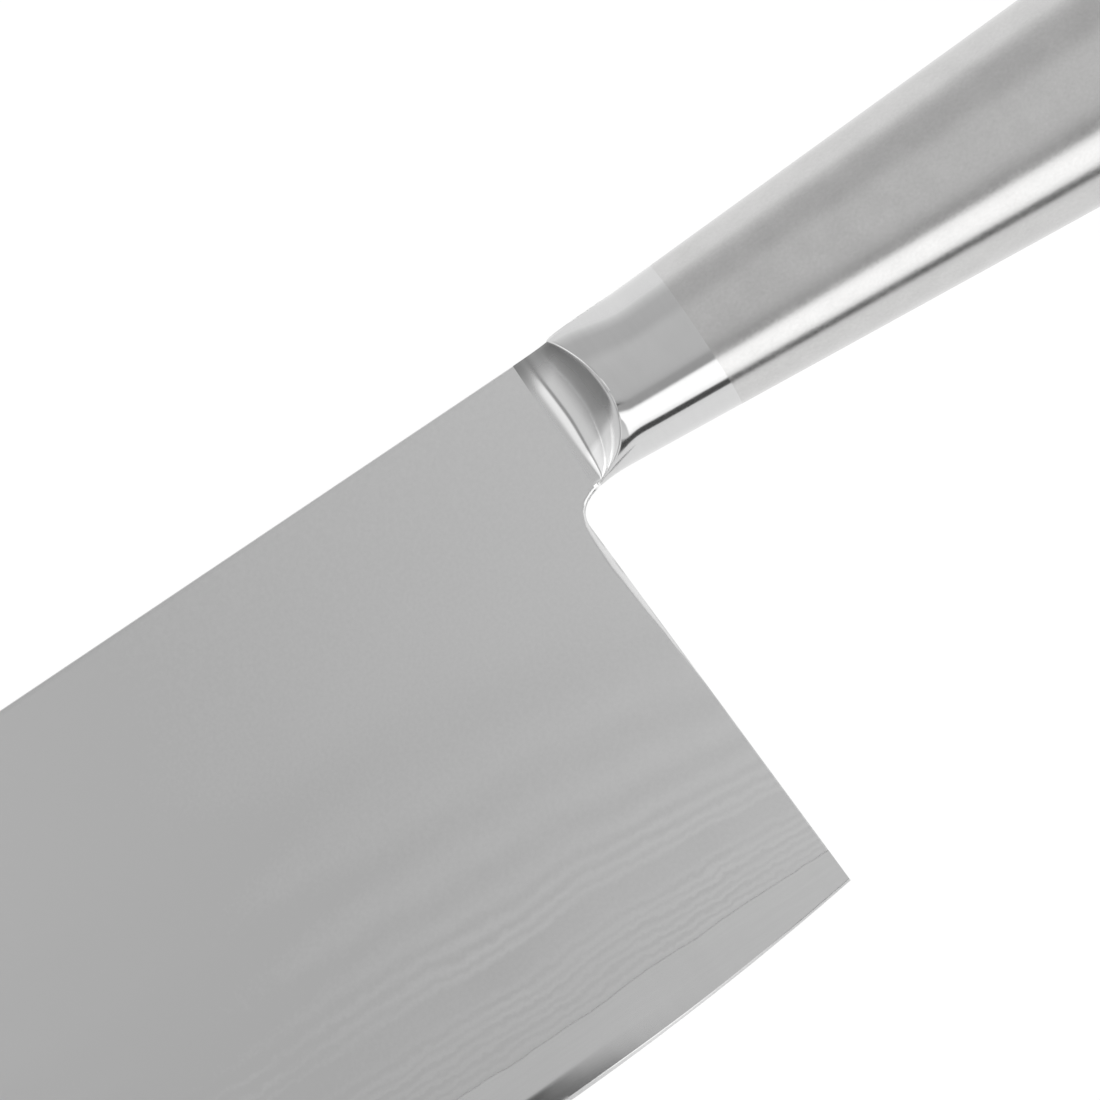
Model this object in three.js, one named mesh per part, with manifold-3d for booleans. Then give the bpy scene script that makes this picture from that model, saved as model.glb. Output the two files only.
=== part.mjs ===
// A cleaver with a blade of three layers, a cast bolster and a hollow steel handle.
// Millimetres. It lies on its right side: x runs from the front of the blade to the butt of the
// handle, y from the cutting edge to the spine, and z from the right face to the left one.
// Until the last lines x is 0 where blade and bolster meet, y is 0 along the spine, and z is 0
// on the middle plane of the blade.

import * as THREE from "three";
import { mergeVertices } from "three/addons/utils/BufferGeometryUtils.js";
import Module from "manifold-3d";

// Blade, seen from the side
const BLADE_LENGTH = 178;
const HEEL_HEIGHT = 80;
const BELLY_HEIGHT = 83.6;
const TOE_HEIGHT = 76.5;
const BELLY_AHEAD_OF_HEEL = 55.4;
const HEEL_AHEAD_OF_BOLSTER = 0.8;
const HEEL_LEAN = THREE.MathUtils.degToRad(2.45);
const SPINE_CORNER_RADIUS = 10;
const TOE_CORNER_RADIUS = 4;
const CORE_LINE_HEIGHT = 75;

// Blade, across its thickness
const SPINE_THICKNESS = 2.4;
const CORE_THICKNESS = 0.7;
const CLADDING_LIP = 0.05;
const BOND_GAP = 0.02;
const EDGE_BEVEL_WIDTH = 0.8;
const EDGE_SHOULDER_THICKNESS = 0.24;

// Choil, the curve from the heel of the blade to the underside of the bolster
const CHOIL_RUN = 9.4;
const CHOIL_DROP = 4.6;

// Tang, with the weld beads that hold it
const TANG_LENGTH = 44;
const TANG_HEIGHT = 11;
const TANG_BELOW_SPINE = 3.8;
const TANG_THICKNESS = 1.3;
const TANG_CLEARANCE = 0.15;
const WELD_LEG = 2.4;
const WELD_LENGTH = 9;
const WELD_GAP = 0.05;

// Bolster and handle, outside
const BOLSTER_LENGTH = 22;
const HANDLE_SHELL_LENGTH = 106;
const NECK_RISE = 0.2;
const NECK_DEPTH = 18.7;
const NECK_THICKNESS = 16.8;
const TOP_FLARE = THREE.MathUtils.degToRad(1.96);
const BOTTOM_FLARE = THREE.MathUtils.degToRad(5.07);
const SIDE_FLARE = THREE.MathUtils.degToRad(2.05);
const GRIP_FULLNESS = 2.15;
const NECK_KEEL_FULLNESS = 1.45;
const KEEL_FADE_LENGTH = 17;
const SCALLOP_RADIUS = 8;
const BUTT_ROUNDING = 28;
const BUTT_FULLNESS = 2.4;

// Handle, inside
const SHELL_WALL = 1.2;
const SPIGOT_LENGTH = 6;
const SPIGOT_CLEARANCE = 0.2;
const SAND_CLEARANCE = 0.3;
const SAND_BELOW_TANG = 1;

// How finely round shapes are divided
const OVAL_POINTS = 48;
const EDGE_STEPS = 36;
const CHOIL_STEPS = 8;
const BOLSTER_STEPS = 12;
const GRIP_STEPS = 5;
const BUTT_STEPS = 10;
const SCALLOP_SIDES = 96;

// How far a cutting shape reaches past what it cuts
const OVERCUT = 10;

const wasm = await Module();
wasm.setup();

// Closed shapes and cuts

function solid(geometry) {
  geometry.deleteAttribute("normal");
  geometry.deleteAttribute("uv");
  const merged = mergeVertices(geometry, 1e-5);
  const vertProperties = new Float32Array(merged.attributes.position.array);
  const triVerts = new Uint32Array(merged.index.array);
  return new wasm.Manifold(new wasm.Mesh({ numProp: 3, vertProperties, triVerts }));
}

function geometryOf(cutSolid) {
  const mesh = cutSolid.getMesh();
  const geometry = new THREE.BufferGeometry();
  geometry.setAttribute("position", new THREE.BufferAttribute(new Float32Array(mesh.vertProperties), 3));
  geometry.setIndex(new THREE.BufferAttribute(new Uint32Array(mesh.triVerts), 1));
  geometry.computeVertexNormals();
  return geometry;
}

// A skin through rings of points that follow each other along x, closed at both ends by a fan.
// Each ring runs from the top over the left side (+z) to the bottom and back over the right side.
function skin(rings, firstTip, lastTip) {
  const around = rings[0].length;
  const points = [...rings.flat(), firstTip, lastTip];
  const firstIndex = rings.length * around;
  const lastIndex = firstIndex + 1;
  const lastRing = firstIndex - around;
  const triangles = [];
  for (let j = 0; j < around; j += 1) {
    const next = (j + 1) % around;
    for (let i = 0; i < rings.length - 1; i += 1) {
      const here = i * around;
      const beyond = here + around;
      triangles.push(here + j, here + next, beyond + j);
      triangles.push(here + next, beyond + next, beyond + j);
    }
    triangles.push(firstIndex, next, j);
    triangles.push(lastIndex, lastRing + j, lastRing + next);
  }
  const geometry = new THREE.BufferGeometry().setFromPoints(points);
  geometry.setIndex(triangles);
  return geometry;
}

function middleOf(ring) {
  return new THREE.Box3().setFromPoints(ring).getCenter(new THREE.Vector3());
}

// A bar of one section along x, given by (y, z) corners in a ring's order
function barAlongX(corners, fromX, toX) {
  const ringAt = (x) => corners.map(([y, z]) => new THREE.Vector3(x, y, z));
  const rings = [ringAt(fromX), ringAt(toX)];
  return skin(rings, middleOf(rings[0]), middleOf(rings[1]));
}

// A box between two corners
function block(from, to) {
  const size = new THREE.Vector3().subVectors(to, from);
  const geometry = new THREE.BoxGeometry(size.x, size.y, size.z);
  const centre = new THREE.Vector3().addVectors(from, to).multiplyScalar(0.5);
  return geometry.translate(centre.x, centre.y, centre.z);
}

// The same shape on the other side of the blade's middle plane
function mirrored(geometry) {
  const copy = geometry.clone().scale(1, 1, -1);
  const index = copy.index.array;
  for (let i = 0; i < index.length; i += 3) {
    [index[i], index[i + 1]] = [index[i + 1], index[i]];
  }
  return copy;
}

// Lines of the blade

const bellyX = -HEEL_AHEAD_OF_BOLSTER - BELLY_AHEAD_OF_HEEL;

// Depth of the cutting edge below the spine: one parabola from the belly to the heel, one to the toe
function edgeDepth(x) {
  const towardHeel = x > bellyX;
  const reach = towardHeel ? BELLY_AHEAD_OF_HEEL : BLADE_LENGTH + bellyX;
  const endHeight = towardHeel ? HEEL_HEIGHT : TOE_HEIGHT;
  const share = (x - bellyX) / reach;
  return BELLY_HEIGHT - (BELLY_HEIGHT - endHeight) * share * share;
}

// Depth of the line where the core comes out of the cladding: straight, then with the toe's rise
function coreLineDepth(x) {
  return x > bellyX ? CORE_LINE_HEIGHT : CORE_LINE_HEIGHT - (BELLY_HEIGHT - edgeDepth(x));
}

// Half the blade's thickness between spine and core line, where both faces are flat
const coreHalf = CORE_THICKNESS / 2;
const claddingInside = coreHalf + BOND_GAP;
const faceSlope = (SPINE_THICKNESS / 2 - claddingInside - CLADDING_LIP) / CORE_LINE_HEIGHT;
const faceHeight = (depth) => SPINE_THICKNESS / 2 - faceSlope * depth;

const heelX = (y) => -HEEL_AHEAD_OF_BOLSTER - (HEEL_HEIGHT + y) * Math.tan(HEEL_LEAN);

// The underside of the handle and the heel meet in a corner, which the choil rounds off
const undersideY = (x) => -NECK_DEPTH - x * Math.tan(BOTTOM_FLARE);
const choilCornerX = heelX(undersideY(0));
const choilCorner = new THREE.Vector2(choilCornerX, undersideY(choilCornerX));
const choilRear = new THREE.Vector2(choilCorner.x + CHOIL_RUN, undersideY(choilCorner.x + CHOIL_RUN));
const choilLow = new THREE.Vector2(heelX(choilCorner.y - CHOIL_DROP), choilCorner.y - CHOIL_DROP);
const choil = new THREE.QuadraticBezierCurve(choilLow, choilCorner, choilRear);

// Where along the choil, from 0 at the heel to 1 at the handle, it passes x
function choilShareAt(x) {
  const square = choilLow.x - 2 * choilCorner.x + choilRear.x;
  const linear = 2 * (choilCorner.x - choilLow.x);
  const rest = choilLow.x - x;
  return (-linear + Math.sqrt(linear * linear - 4 * square * rest)) / (2 * square);
}

// Blade

// The side view that all three layers are cut to, left long below so that the edge can be ground
function layerOutline() {
  const front = -BLADE_LENGTH;
  const toeRear = front + TOE_CORNER_RADIUS;
  const below = -BELLY_HEIGHT - OVERCUT;
  const tangTop = -TANG_BELOW_SPINE;
  const tangBottom = tangTop - TANG_HEIGHT;
  const shape = new THREE.Shape();
  shape.moveTo(0, tangBottom);
  shape.lineTo(TANG_LENGTH, tangBottom);
  shape.lineTo(TANG_LENGTH, tangTop);
  shape.lineTo(0, tangTop);
  shape.lineTo(0, 0);
  shape.lineTo(front + SPINE_CORNER_RADIUS, 0);
  shape.quadraticCurveTo(front, 0, front, -SPINE_CORNER_RADIUS);
  shape.lineTo(front, -edgeDepth(front) + TOE_CORNER_RADIUS);
  shape.quadraticCurveTo(front, -edgeDepth(front), toeRear, -edgeDepth(toeRear));
  shape.lineTo(toeRear, below);
  shape.lineTo(heelX(below), below);
  const jointShare = choilShareAt(0);
  for (let i = 0; i <= CHOIL_STEPS; i += 1) {
    const point = choil.getPoint((jointShare * i) / CHOIL_STEPS);
    shape.lineTo(i === CHOIL_STEPS ? 0 : point.x, point.y);
  }
  return shape;
}

function layer(fromZ, toZ) {
  const settings = { depth: toZ - fromZ, bevelEnabled: false, curveSegments: CHOIL_STEPS };
  return new THREE.ExtrudeGeometry(layerOutline(), settings).translate(0, 0, fromZ);
}

// What the grinder takes off the left side of the core, from the core line to the cutting edge
function edgeGrind() {
  const frontX = -BLADE_LENGTH - OVERCUT;
  const deep = BELLY_HEIGHT + 2 * OVERCUT;
  const rings = [];
  for (let i = 0; i <= EDGE_STEPS; i += 1) {
    const x = frontX + ((OVERCUT / 2 - frontX) * i) / EDGE_STEPS;
    const edge = edgeDepth(x);
    const line = coreLineDepth(x);
    const shoulder = edge - EDGE_BEVEL_WIDTH;
    const bandSlope = (coreHalf - EDGE_SHOULDER_THICKNESS / 2) / (shoulder - line);
    const bevelSlope = EDGE_SHOULDER_THICKNESS / 2 / EDGE_BEVEL_WIDTH;
    const corners = [
      [-line + OVERCUT, OVERCUT],
      [-deep, OVERCUT],
      [-deep, -bevelSlope * (deep - edge)],
      [-shoulder, EDGE_SHOULDER_THICKNESS / 2],
      [-line + OVERCUT, coreHalf + bandSlope * OVERCUT],
    ];
    rings.push(corners.map(([y, z]) => new THREE.Vector3(x, y, z)));
  }
  return skin(rings, middleOf(rings[0]), middleOf(rings[EDGE_STEPS]));
}

function corePlate() {
  const grind = edgeGrind();
  const otherGrind = mirrored(grind);
  return solid(layer(-coreHalf, coreHalf)).subtract(solid(grind)).subtract(solid(otherGrind));
}

// Everything below the core line, where the cladding has been ground away
function belowCoreLine() {
  const front = -BLADE_LENGTH - OVERCUT;
  const below = -BELLY_HEIGHT - 2 * OVERCUT;
  const shape = new THREE.Shape();
  shape.moveTo(front, below);
  shape.lineTo(OVERCUT, below);
  for (let i = 0; i <= EDGE_STEPS; i += 1) {
    const x = OVERCUT + ((front - OVERCUT) * i) / EDGE_STEPS;
    shape.lineTo(x, -coreLineDepth(x));
  }
  const settings = { depth: 2 * OVERCUT, bevelEnabled: false };
  return new THREE.ExtrudeGeometry(shape, settings).translate(0, 0, -OVERCUT);
}

// The cladding's face is ground flat to the core line, and its tang is milled thinner
function leftCladding() {
  const deep = BELLY_HEIGHT + 2 * OVERCUT;
  const taper = [
    [OVERCUT, OVERCUT],
    [-deep, OVERCUT],
    [-deep, faceHeight(deep)],
    [OVERCUT, faceHeight(-OVERCUT)],
  ];
  const grind = barAlongX(taper, -BLADE_LENGTH - OVERCUT, TANG_LENGTH + OVERCUT);
  const millFrom = new THREE.Vector3(0, -HEEL_HEIGHT, TANG_THICKNESS / 2);
  const millTo = new THREE.Vector3(TANG_LENGTH + OVERCUT, OVERCUT, OVERCUT);
  return solid(layer(claddingInside, SPINE_THICKNESS))
    .subtract(solid(grind))
    .subtract(solid(belowCoreLine()))
    .subtract(solid(block(millFrom, millTo)));
}

// Outside of the bolster and the handle

const shellFront = BOLSTER_LENGTH;
const buttX = BOLSTER_LENGTH + HANDLE_SHELL_LENGTH;
const buttStart = buttX - BUTT_ROUNDING;

function bottomAt(x) {
  return x < choilRear.x ? choil.getPoint(choilShareAt(x)).y : undersideY(x);
}

// How much the section has shrunk toward its middle on the rounded butt, drawn in by an inset
function buttShare(x, inset) {
  const along = Math.max(0, x - buttStart) / (BUTT_ROUNDING - inset);
  return Math.pow(Math.max(0, 1 - Math.pow(along, BUTT_FULLNESS)), 1 / BUTT_FULLNESS);
}

// One oval ring of the handle at x, drawn in by an inset. Its lower half is more pointed at the neck.
function ovalRing(x, inset) {
  const share = buttShare(x, inset);
  const top = NECK_RISE + x * Math.tan(TOP_FLARE);
  const bottom = bottomAt(x);
  const middle = (top + bottom) / 2;
  const halfHeight = ((top - bottom) / 2 - inset) * share;
  const halfThickness = (NECK_THICKNESS / 2 + x * Math.tan(SIDE_FLARE) - inset) * share;
  const fade = THREE.MathUtils.smoothstep(x, 0, KEEL_FADE_LENGTH);
  const keelFullness = THREE.MathUtils.lerp(NECK_KEEL_FULLNESS, GRIP_FULLNESS, fade);
  const ring = [];
  for (let j = 0; j < OVAL_POINTS; j += 1) {
    const angle = (2 * Math.PI * j) / OVAL_POINTS;
    const onSeam = j % (OVAL_POINTS / 2) === 0;
    const up = Math.cos(angle);
    const left = onSeam ? 0 : Math.sin(angle);
    const fullness = up > 0 ? GRIP_FULLNESS : keelFullness;
    const y = middle + halfHeight * Math.sign(up) * Math.pow(Math.abs(up), 2 / fullness);
    const z = halfThickness * Math.sign(left) * Math.pow(Math.abs(left), 2 / fullness);
    ring.push(new THREE.Vector3(x, y, z));
  }
  return ring;
}

// The handle's inside or outside as one round-ended body from a given x to the butt
function gripBody(fromX, inset) {
  const rings = [];
  for (let i = 0; i < GRIP_STEPS; i += 1) {
    rings.push(ovalRing(fromX + ((buttStart - fromX) * i) / GRIP_STEPS, inset));
  }
  for (let i = 0; i < BUTT_STEPS; i += 1) {
    const along = Math.sin((Math.PI / 2) * (i / BUTT_STEPS));
    rings.push(ovalRing(buttStart + (BUTT_ROUNDING - inset) * along, inset));
  }
  const tip = middleOf(rings[rings.length - 1]);
  tip.x = buttX - inset;
  return skin(rings, middleOf(rings[0]), tip);
}

// Bolster

// The grinding wheel that hollows the left side, tangent to the blade's face at the joint
function scallopWheel() {
  const tilt = Math.atan(faceSlope);
  const halfNeck = NECK_DEPTH / 2;
  const wheel = new THREE.CylinderGeometry(SCALLOP_RADIUS, SCALLOP_RADIUS, 3 * NECK_DEPTH, SCALLOP_SIDES);
  wheel.rotateX(tilt);
  const centreY = -halfNeck - SCALLOP_RADIUS * Math.sin(tilt);
  const centreZ = faceHeight(halfNeck) + SCALLOP_RADIUS * Math.cos(tilt);
  return wheel.translate(0, centreY, centreZ);
}

const spigotEnd = BOLSTER_LENGTH + SPIGOT_LENGTH;

function bolster() {
  const rings = [];
  for (let i = 0; i <= BOLSTER_STEPS; i += 1) {
    rings.push(ovalRing((BOLSTER_LENGTH * i) / BOLSTER_STEPS, 0));
  }
  const body = solid(skin(rings, middleOf(rings[0]), middleOf(rings[BOLSTER_STEPS])));
  const spigotRing = ovalRing(BOLSTER_LENGTH, SHELL_WALL + SPIGOT_CLEARANCE);
  const spigotCorners = spigotRing.map((point) => [point.y, point.z]);
  const spigot = solid(barAlongX(spigotCorners, BOLSTER_LENGTH / 2, spigotEnd));
  const slotHalf = TANG_THICKNESS / 2 + TANG_CLEARANCE;
  const slotTop = -TANG_BELOW_SPINE + TANG_CLEARANCE;
  const slotBottom = -TANG_BELOW_SPINE - TANG_HEIGHT - TANG_CLEARANCE;
  const slotFrom = new THREE.Vector3(-OVERCUT, slotBottom, -slotHalf);
  const slotTo = new THREE.Vector3(spigotEnd + OVERCUT, slotTop, slotHalf);
  const wheel = scallopWheel();
  const otherWheel = mirrored(wheel);
  return body
    .add(spigot)
    .subtract(solid(wheel))
    .subtract(solid(otherWheel))
    .subtract(solid(block(slotFrom, slotTo)));
}

// A bead with a quarter-round section in the corner between the spigot's end and the tang's left side
function leftTangWeld() {
  const seat = TANG_THICKNESS / 2 + WELD_GAP;
  const shape = new THREE.Shape();
  shape.moveTo(0, 0);
  shape.lineTo(WELD_LEG, 0);
  shape.absarc(0, 0, WELD_LEG, 0, Math.PI / 2);
  shape.lineTo(0, 0);
  const bead = new THREE.ExtrudeGeometry(shape, { depth: WELD_LENGTH, bevelEnabled: false, curveSegments: 8 });
  bead.rotateX(Math.PI / 2);
  const tangMiddle = -TANG_BELOW_SPINE - TANG_HEIGHT / 2;
  return bead.translate(spigotEnd + WELD_GAP, tangMiddle + WELD_LENGTH / 2, seat);
}

// Handle

function handleShells() {
  const tube = solid(gripBody(shellFront, 0)).subtract(solid(gripBody(shellFront - OVERCUT, SHELL_WALL)));
  const wide = BELLY_HEIGHT;
  const leftFrom = new THREE.Vector3(-OVERCUT, -wide, 0);
  const leftTo = new THREE.Vector3(buttX + OVERCUT, wide, wide);
  const rightFrom = new THREE.Vector3(-OVERCUT, -wide, -wide);
  const rightTo = new THREE.Vector3(buttX + OVERCUT, wide, 0);
  return {
    left: tube.intersect(solid(block(leftFrom, leftTo))),
    right: tube.intersect(solid(block(rightFrom, rightTo))),
  };
}

// Loose sand, lying level in the right half of the handle, below the tang
function balanceSand() {
  const sandFront = spigotEnd + WELD_GAP + WELD_LEG + SAND_CLEARANCE;
  const level = -TANG_THICKNESS / 2 - SAND_BELOW_TANG;
  const filling = solid(gripBody(sandFront, SHELL_WALL + SAND_CLEARANCE));
  const wide = BELLY_HEIGHT;
  const from = new THREE.Vector3(0, -wide, -wide);
  const to = new THREE.Vector3(buttX + OVERCUT, wide, level);
  return filling.intersect(solid(block(from, to)));
}

// Assembly

const knife = new THREE.Group();

function addPiece(name, geometry, color, roughness, metalness) {
  const material = new THREE.MeshStandardMaterial({ color, roughness, metalness });
  const mesh = new THREE.Mesh(geometry, material);
  mesh.name = name;
  knife.add(mesh);
}

const cladding = geometryOf(leftCladding());
const weld = geometryOf(solid(leftTangWeld()));
const shells = handleShells();

addPiece("core_plate", geometryOf(corePlate()), 0xc2c3c3, 0.2, 1);
addPiece("left_cladding", cladding, 0xb1b1b0, 0.42, 1);
addPiece("right_cladding", mirrored(cladding), 0xb1b1b0, 0.42, 1);
addPiece("bolster", geometryOf(bolster()), 0xc6c6c5, 0.12, 1);
addPiece("left_tang_weld", weld, 0x8f8d8a, 0.5, 1);
addPiece("right_tang_weld", mirrored(weld), 0x8f8d8a, 0.5, 1);
addPiece("left_handle_shell", geometryOf(shells.left), 0xb9b8b6, 0.3, 1);
addPiece("right_handle_shell", geometryOf(shells.right), 0xb9b8b6, 0.3, 1);
addPiece("balance_sand", geometryOf(balanceSand()), 0xc8b48a, 0.95, 0);

// The origin lies under the middle of the whole knife, level with the lowest point of the handle
const extent = new THREE.Box3().setFromObject(knife);
const centre = extent.getCenter(new THREE.Vector3());
knife.position.set(-centre.x, -centre.y, -extent.min.z);

const cleaver = new THREE.Group();
cleaver.add(knife);

export default cleaver;
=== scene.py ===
# %% [markdown]
# # A kitchen cleaver with a patterned blade and a hollow steel handle
#
# The real knife is a sandwich. A hard core plate carries the cutting edge, a layer of patterned
# steel lies on each side of it, and a polished bolster joins the blade to a hollow handle that is
# welded up from two pressed shells. We build each of those pieces as a mesh of its own, in metres,
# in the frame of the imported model.

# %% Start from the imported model
import math

import bmesh
import bpy
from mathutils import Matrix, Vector, noise


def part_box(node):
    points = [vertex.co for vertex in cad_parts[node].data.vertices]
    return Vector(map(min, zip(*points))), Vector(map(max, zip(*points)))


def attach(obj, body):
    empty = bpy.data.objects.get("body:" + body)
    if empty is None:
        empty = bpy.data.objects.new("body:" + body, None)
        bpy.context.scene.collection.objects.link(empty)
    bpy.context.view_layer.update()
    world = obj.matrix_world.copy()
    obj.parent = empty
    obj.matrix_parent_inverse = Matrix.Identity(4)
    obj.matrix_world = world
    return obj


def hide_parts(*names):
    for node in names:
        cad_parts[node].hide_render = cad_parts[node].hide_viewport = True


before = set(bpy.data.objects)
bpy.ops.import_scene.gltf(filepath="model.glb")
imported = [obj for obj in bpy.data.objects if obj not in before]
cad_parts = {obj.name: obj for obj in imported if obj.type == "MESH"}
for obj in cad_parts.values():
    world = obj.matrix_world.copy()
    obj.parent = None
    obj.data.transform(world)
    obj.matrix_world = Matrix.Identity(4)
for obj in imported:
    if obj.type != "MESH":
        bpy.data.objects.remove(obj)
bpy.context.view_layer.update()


# %% [markdown]
# ## Read the main sizes
#
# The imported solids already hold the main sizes, so we measure them and do not type them in again.
# From here on we think as the maker does, in millimetres, with x = 0 where blade and bolster meet,
# y = 0 along the spine and z = 0 on the middle plane of the blade. One small function takes such a
# point back to the frame.

# %% Main sizes
MM = 0.001
core_low, core_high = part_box("core_plate")
cladding_low, cladding_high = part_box("left_cladding")
bolster_low, bolster_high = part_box("bolster")
shell_low, shell_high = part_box("left_handle_shell")

joint_x = bolster_low.x
spine_y = cladding_high.y
middle_z = (core_low.z + core_high.z) / 2

BLADE_LENGTH = (joint_x - core_low.x) / MM
BELLY_HEIGHT = (spine_y - core_low.y) / MM
CORE_LINE_DEPTH = (spine_y - cladding_low.y) / MM
SPINE_HALF = (cladding_high.z - middle_z) / MM
CLADDING_INSIDE = (cladding_low.z - middle_z) / MM
CORE_HALF = (core_high.z - middle_z) / MM
SHELL_FRONT = (shell_low.x - joint_x) / MM
BUTT_X = (shell_high.x - joint_x) / MM
SPIGOT_END = (bolster_high.x - joint_x) / MM


def place(x, y, z):
    return Vector((joint_x + x * MM, spine_y + y * MM, middle_z + z * MM))


print(f"blade {BLADE_LENGTH:.1f} mm long and {BELLY_HEIGHT:.1f} mm high, handle to x = {BUTT_X:.1f} mm")

# %% [markdown]
# ## Helpers that close a mesh
#
# Thin pieces such as a blade layer or a shell are two matching grids of points, one for the outside
# and one for the inside, joined all round their border. Where the grids touch, as they do at a
# cutting edge, the doubled points are merged. Edges that turn by more than a set angle are marked
# sharp, so that flat faces stay flat and round ones stay smooth.

# %% Mesh helpers
MERGE_DISTANCE = 2e-7
SHARP_ANGLE = math.radians(17)


def finish_mesh(name, points, faces, sharp_angle=SHARP_ANGLE):
    mesh = bpy.data.meshes.new(name)
    mesh.from_pydata(points, [], faces)
    shape = bmesh.new()
    shape.from_mesh(mesh)
    bmesh.ops.remove_doubles(shape, verts=shape.verts, dist=MERGE_DISTANCE)
    bmesh.ops.dissolve_degenerate(shape, edges=shape.edges, dist=MERGE_DISTANCE)
    bmesh.ops.recalc_face_normals(shape, faces=shape.faces)
    for face in shape.faces:
        face.smooth = True
    for edge in shape.edges:
        edge.smooth = len(edge.link_faces) == 2 and edge.calc_face_angle() < sharp_angle
    open_edges = sum(1 for edge in shape.edges if len(edge.link_faces) != 2)
    shape.to_mesh(mesh)
    shape.free()
    piece = bpy.data.objects.new(name, mesh)
    bpy.context.scene.collection.objects.link(piece)
    print(f"{name}: {len(mesh.vertices)} points, {len(mesh.polygons)} faces, {open_edges} open edges")
    return piece


def closed_sheet(name, outside, inside, sharp_angle=SHARP_ANGLE):
    rows = len(outside)
    columns = len(outside[0])
    points = [p for row in outside for p in row] + [p for row in inside for p in row]
    far = rows * columns
    faces = []
    for i in range(rows - 1):
        for j in range(columns - 1):
            here = i * columns + j
            quad = (here, here + 1, here + columns + 1, here + columns)
            faces.append(quad)
            faces.append(tuple(far + k for k in reversed(quad)))
    border = list(range(columns))
    border += [i * columns + columns - 1 for i in range(1, rows)]
    border += [(rows - 1) * columns + j for j in range(columns - 2, -1, -1)]
    border += [i * columns for i in range(rows - 2, 0, -1)]
    for here, beyond in zip(border, border[1:] + border[:1]):
        faces.append((beyond, here, far + here, far + beyond))
    return finish_mesh(name, points, faces, sharp_angle)


def closed_ring_of_rings(name, rings):
    around = len(rings[0])
    points = [p for ring in rings for p in ring]
    faces = []
    for i in range(len(rings)):
        here = i * around
        beyond = ((i + 1) % len(rings)) * around
        for j in range(around):
            side = (j + 1) % around
            faces.append((here + j, here + side, beyond + side, beyond + j))
    return finish_mesh(name, points, faces)


print(f"edges that turn more than {math.degrees(SHARP_ANGLE):.0f} degrees will be sharp")

# %% [markdown]
# ## Lines of the blade
#
# Seen from the side the blade is bounded by a straight spine, a gently curved edge with its deepest
# point ahead of the heel, a heel that leans a little, and the choil, the curve that clears the
# finger. Each line is a formula here, so any row of a mesh can ask where the blade starts and stops.

# %% Edge and heel
HEEL_HEIGHT = 80.0
TOE_HEIGHT = 76.5
BELLY_AHEAD_OF_HEEL = 55.4
HEEL_AHEAD_OF_BOLSTER = 0.8
HEEL_LEAN = math.tan(math.radians(2.45))
NECK_DEPTH = 18.7
BOTTOM_FLARE = math.tan(math.radians(5.07))

front_x = -BLADE_LENGTH
belly_x = -HEEL_AHEAD_OF_BOLSTER - BELLY_AHEAD_OF_HEEL


def edge_depth(x):
    toward_heel = x > belly_x
    reach = BELLY_AHEAD_OF_HEEL if toward_heel else BLADE_LENGTH + belly_x
    end = HEEL_HEIGHT if toward_heel else TOE_HEIGHT
    return BELLY_HEIGHT - (BELLY_HEIGHT - end) * ((x - belly_x) / reach) ** 2


def straight_core_line(x):
    return CORE_LINE_DEPTH if x > belly_x else CORE_LINE_DEPTH - (BELLY_HEIGHT - edge_depth(x))


def heel_line(depth):
    return -HEEL_AHEAD_OF_BOLSTER - (HEEL_HEIGHT - depth) * HEEL_LEAN


def underside_depth(x):
    return NECK_DEPTH + x * BOTTOM_FLARE


print(f"the edge is deepest at x = {belly_x:.1f} mm")

# %% [markdown]
# The choil is one quadratic curve, drawn by its two ends and the corner that it rounds off. We need
# its depth at a given x and its x at a given depth, and a quadratic can be solved for either. The
# front has two rounded corners, and the faces taper evenly from the spine.

# %% Choil, front and faces
SPINE_CORNER = 10.0
TOE_CORNER = 4.0
CHOIL_RUN = 9.4
CHOIL_DROP = 4.6
LAYER_AT_CORE_LINE = 0.05

choil_corner_x = heel_line(underside_depth(0))
choil_corner_depth = underside_depth(choil_corner_x)
choil_low_depth = choil_corner_depth + CHOIL_DROP
choil_low_x = heel_line(choil_low_depth)
choil_rear_x = choil_corner_x + CHOIL_RUN
choil_rear_depth = underside_depth(choil_rear_x)
choil_xs = (choil_low_x, choil_corner_x, choil_rear_x)
choil_depths = (choil_low_depth, choil_corner_depth, choil_rear_depth)
face_slope = (SPINE_HALF - CLADDING_INSIDE - LAYER_AT_CORE_LINE) / CORE_LINE_DEPTH


def curve_of_three(a, b, c, t):
    return a * (1 - t) ** 2 + 2 * b * t * (1 - t) + c * t * t


def share_of_three(a, b, c, value, sign):
    square = a - 2 * b + c
    linear = 2 * (b - a)
    root = math.sqrt(max(0.0, linear * linear - 4 * square * (a - value)))
    return (-linear + sign * root) / (2 * square)


def choil_depth(x):
    t = share_of_three(*choil_xs, x, 1)
    return curve_of_three(*choil_depths, t)


joint_depth = choil_depth(0)


def rear_x(depth):
    if depth <= joint_depth:
        return 0.0
    if depth < choil_low_depth:
        t = share_of_three(*choil_depths, depth, -1)
        return curve_of_three(*choil_xs, t)
    return heel_line(depth)


def front_of_blade(depth):
    if depth < SPINE_CORNER:
        return front_x + SPINE_CORNER * (1 - math.sqrt(max(0.0, depth) / SPINE_CORNER)) ** 2
    toe = edge_depth(front_x)
    if depth > toe - TOE_CORNER:
        return front_x + TOE_CORNER * (1 - math.sqrt(max(0.0, toe - depth) / TOE_CORNER)) ** 2
    return front_x


def face_height(depth):
    return SPINE_HALF - face_slope * depth


print(f"choil meets the bolster {joint_depth:.2f} mm below the spine; faces taper {face_slope:.4f}")

# %% [markdown]
# ## The wavy core line
#
# When the smith grinds the edge, the core comes out of the outer layers along a line that wanders,
# because the layers were hammered and are never quite even. A sum of smooth noise at three sizes
# gives such a line: a slow drift, a lively ripple, and a fine tremble.

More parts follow.
